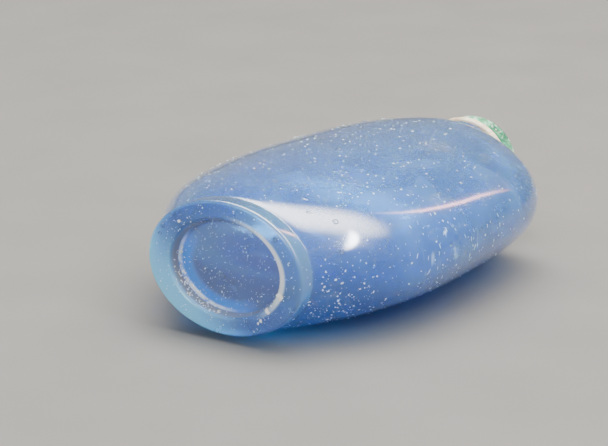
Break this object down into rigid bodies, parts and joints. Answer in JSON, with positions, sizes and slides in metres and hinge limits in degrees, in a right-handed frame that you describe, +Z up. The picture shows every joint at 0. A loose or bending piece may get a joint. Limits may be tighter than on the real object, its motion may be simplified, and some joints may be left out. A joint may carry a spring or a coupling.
{
  "type": "glass snuff bottle with stopper",
  "caption": "Small flattened ovoid bottle of milky blue glass on an oval foot ring, with a domed stone stopper, collar, cork plug and spoon that pull out together.",
  "frame": {"origin": "on the surface the bottle lies on, under the centre of its bounding box", "axes": "+X along the bottle's long axis from foot to stopper, +Y across its width, +Z up through its thickness, as it lies on one broad face"},
  "size_m": [0.0696, 0.043, 0.0199],
  "materials": {
    "blue_glass": "polished, milky, full of fine bubbles",
    "green_stone": "polished, mottled white and green",
    "pale_bone": "satin, slightly yellowed, faint grain",
    "cork": "raw cork, dry"
  },
  "bodies": {
    "bottle": {"glass_bottle": "blue_glass"},
    "stopper": {"stopper_cap": "green_stone", "stopper_collar": "pale_bone", "stopper_cork": "cork", "snuff_spoon": "pale_bone"}
  },
  "joints": [
    {"name": "stopper_pull", "type": "slide", "parent": "bottle", "child": "stopper", "axis": [1, 0, 0], "range_m": [0, 0.046]}
  ]
}
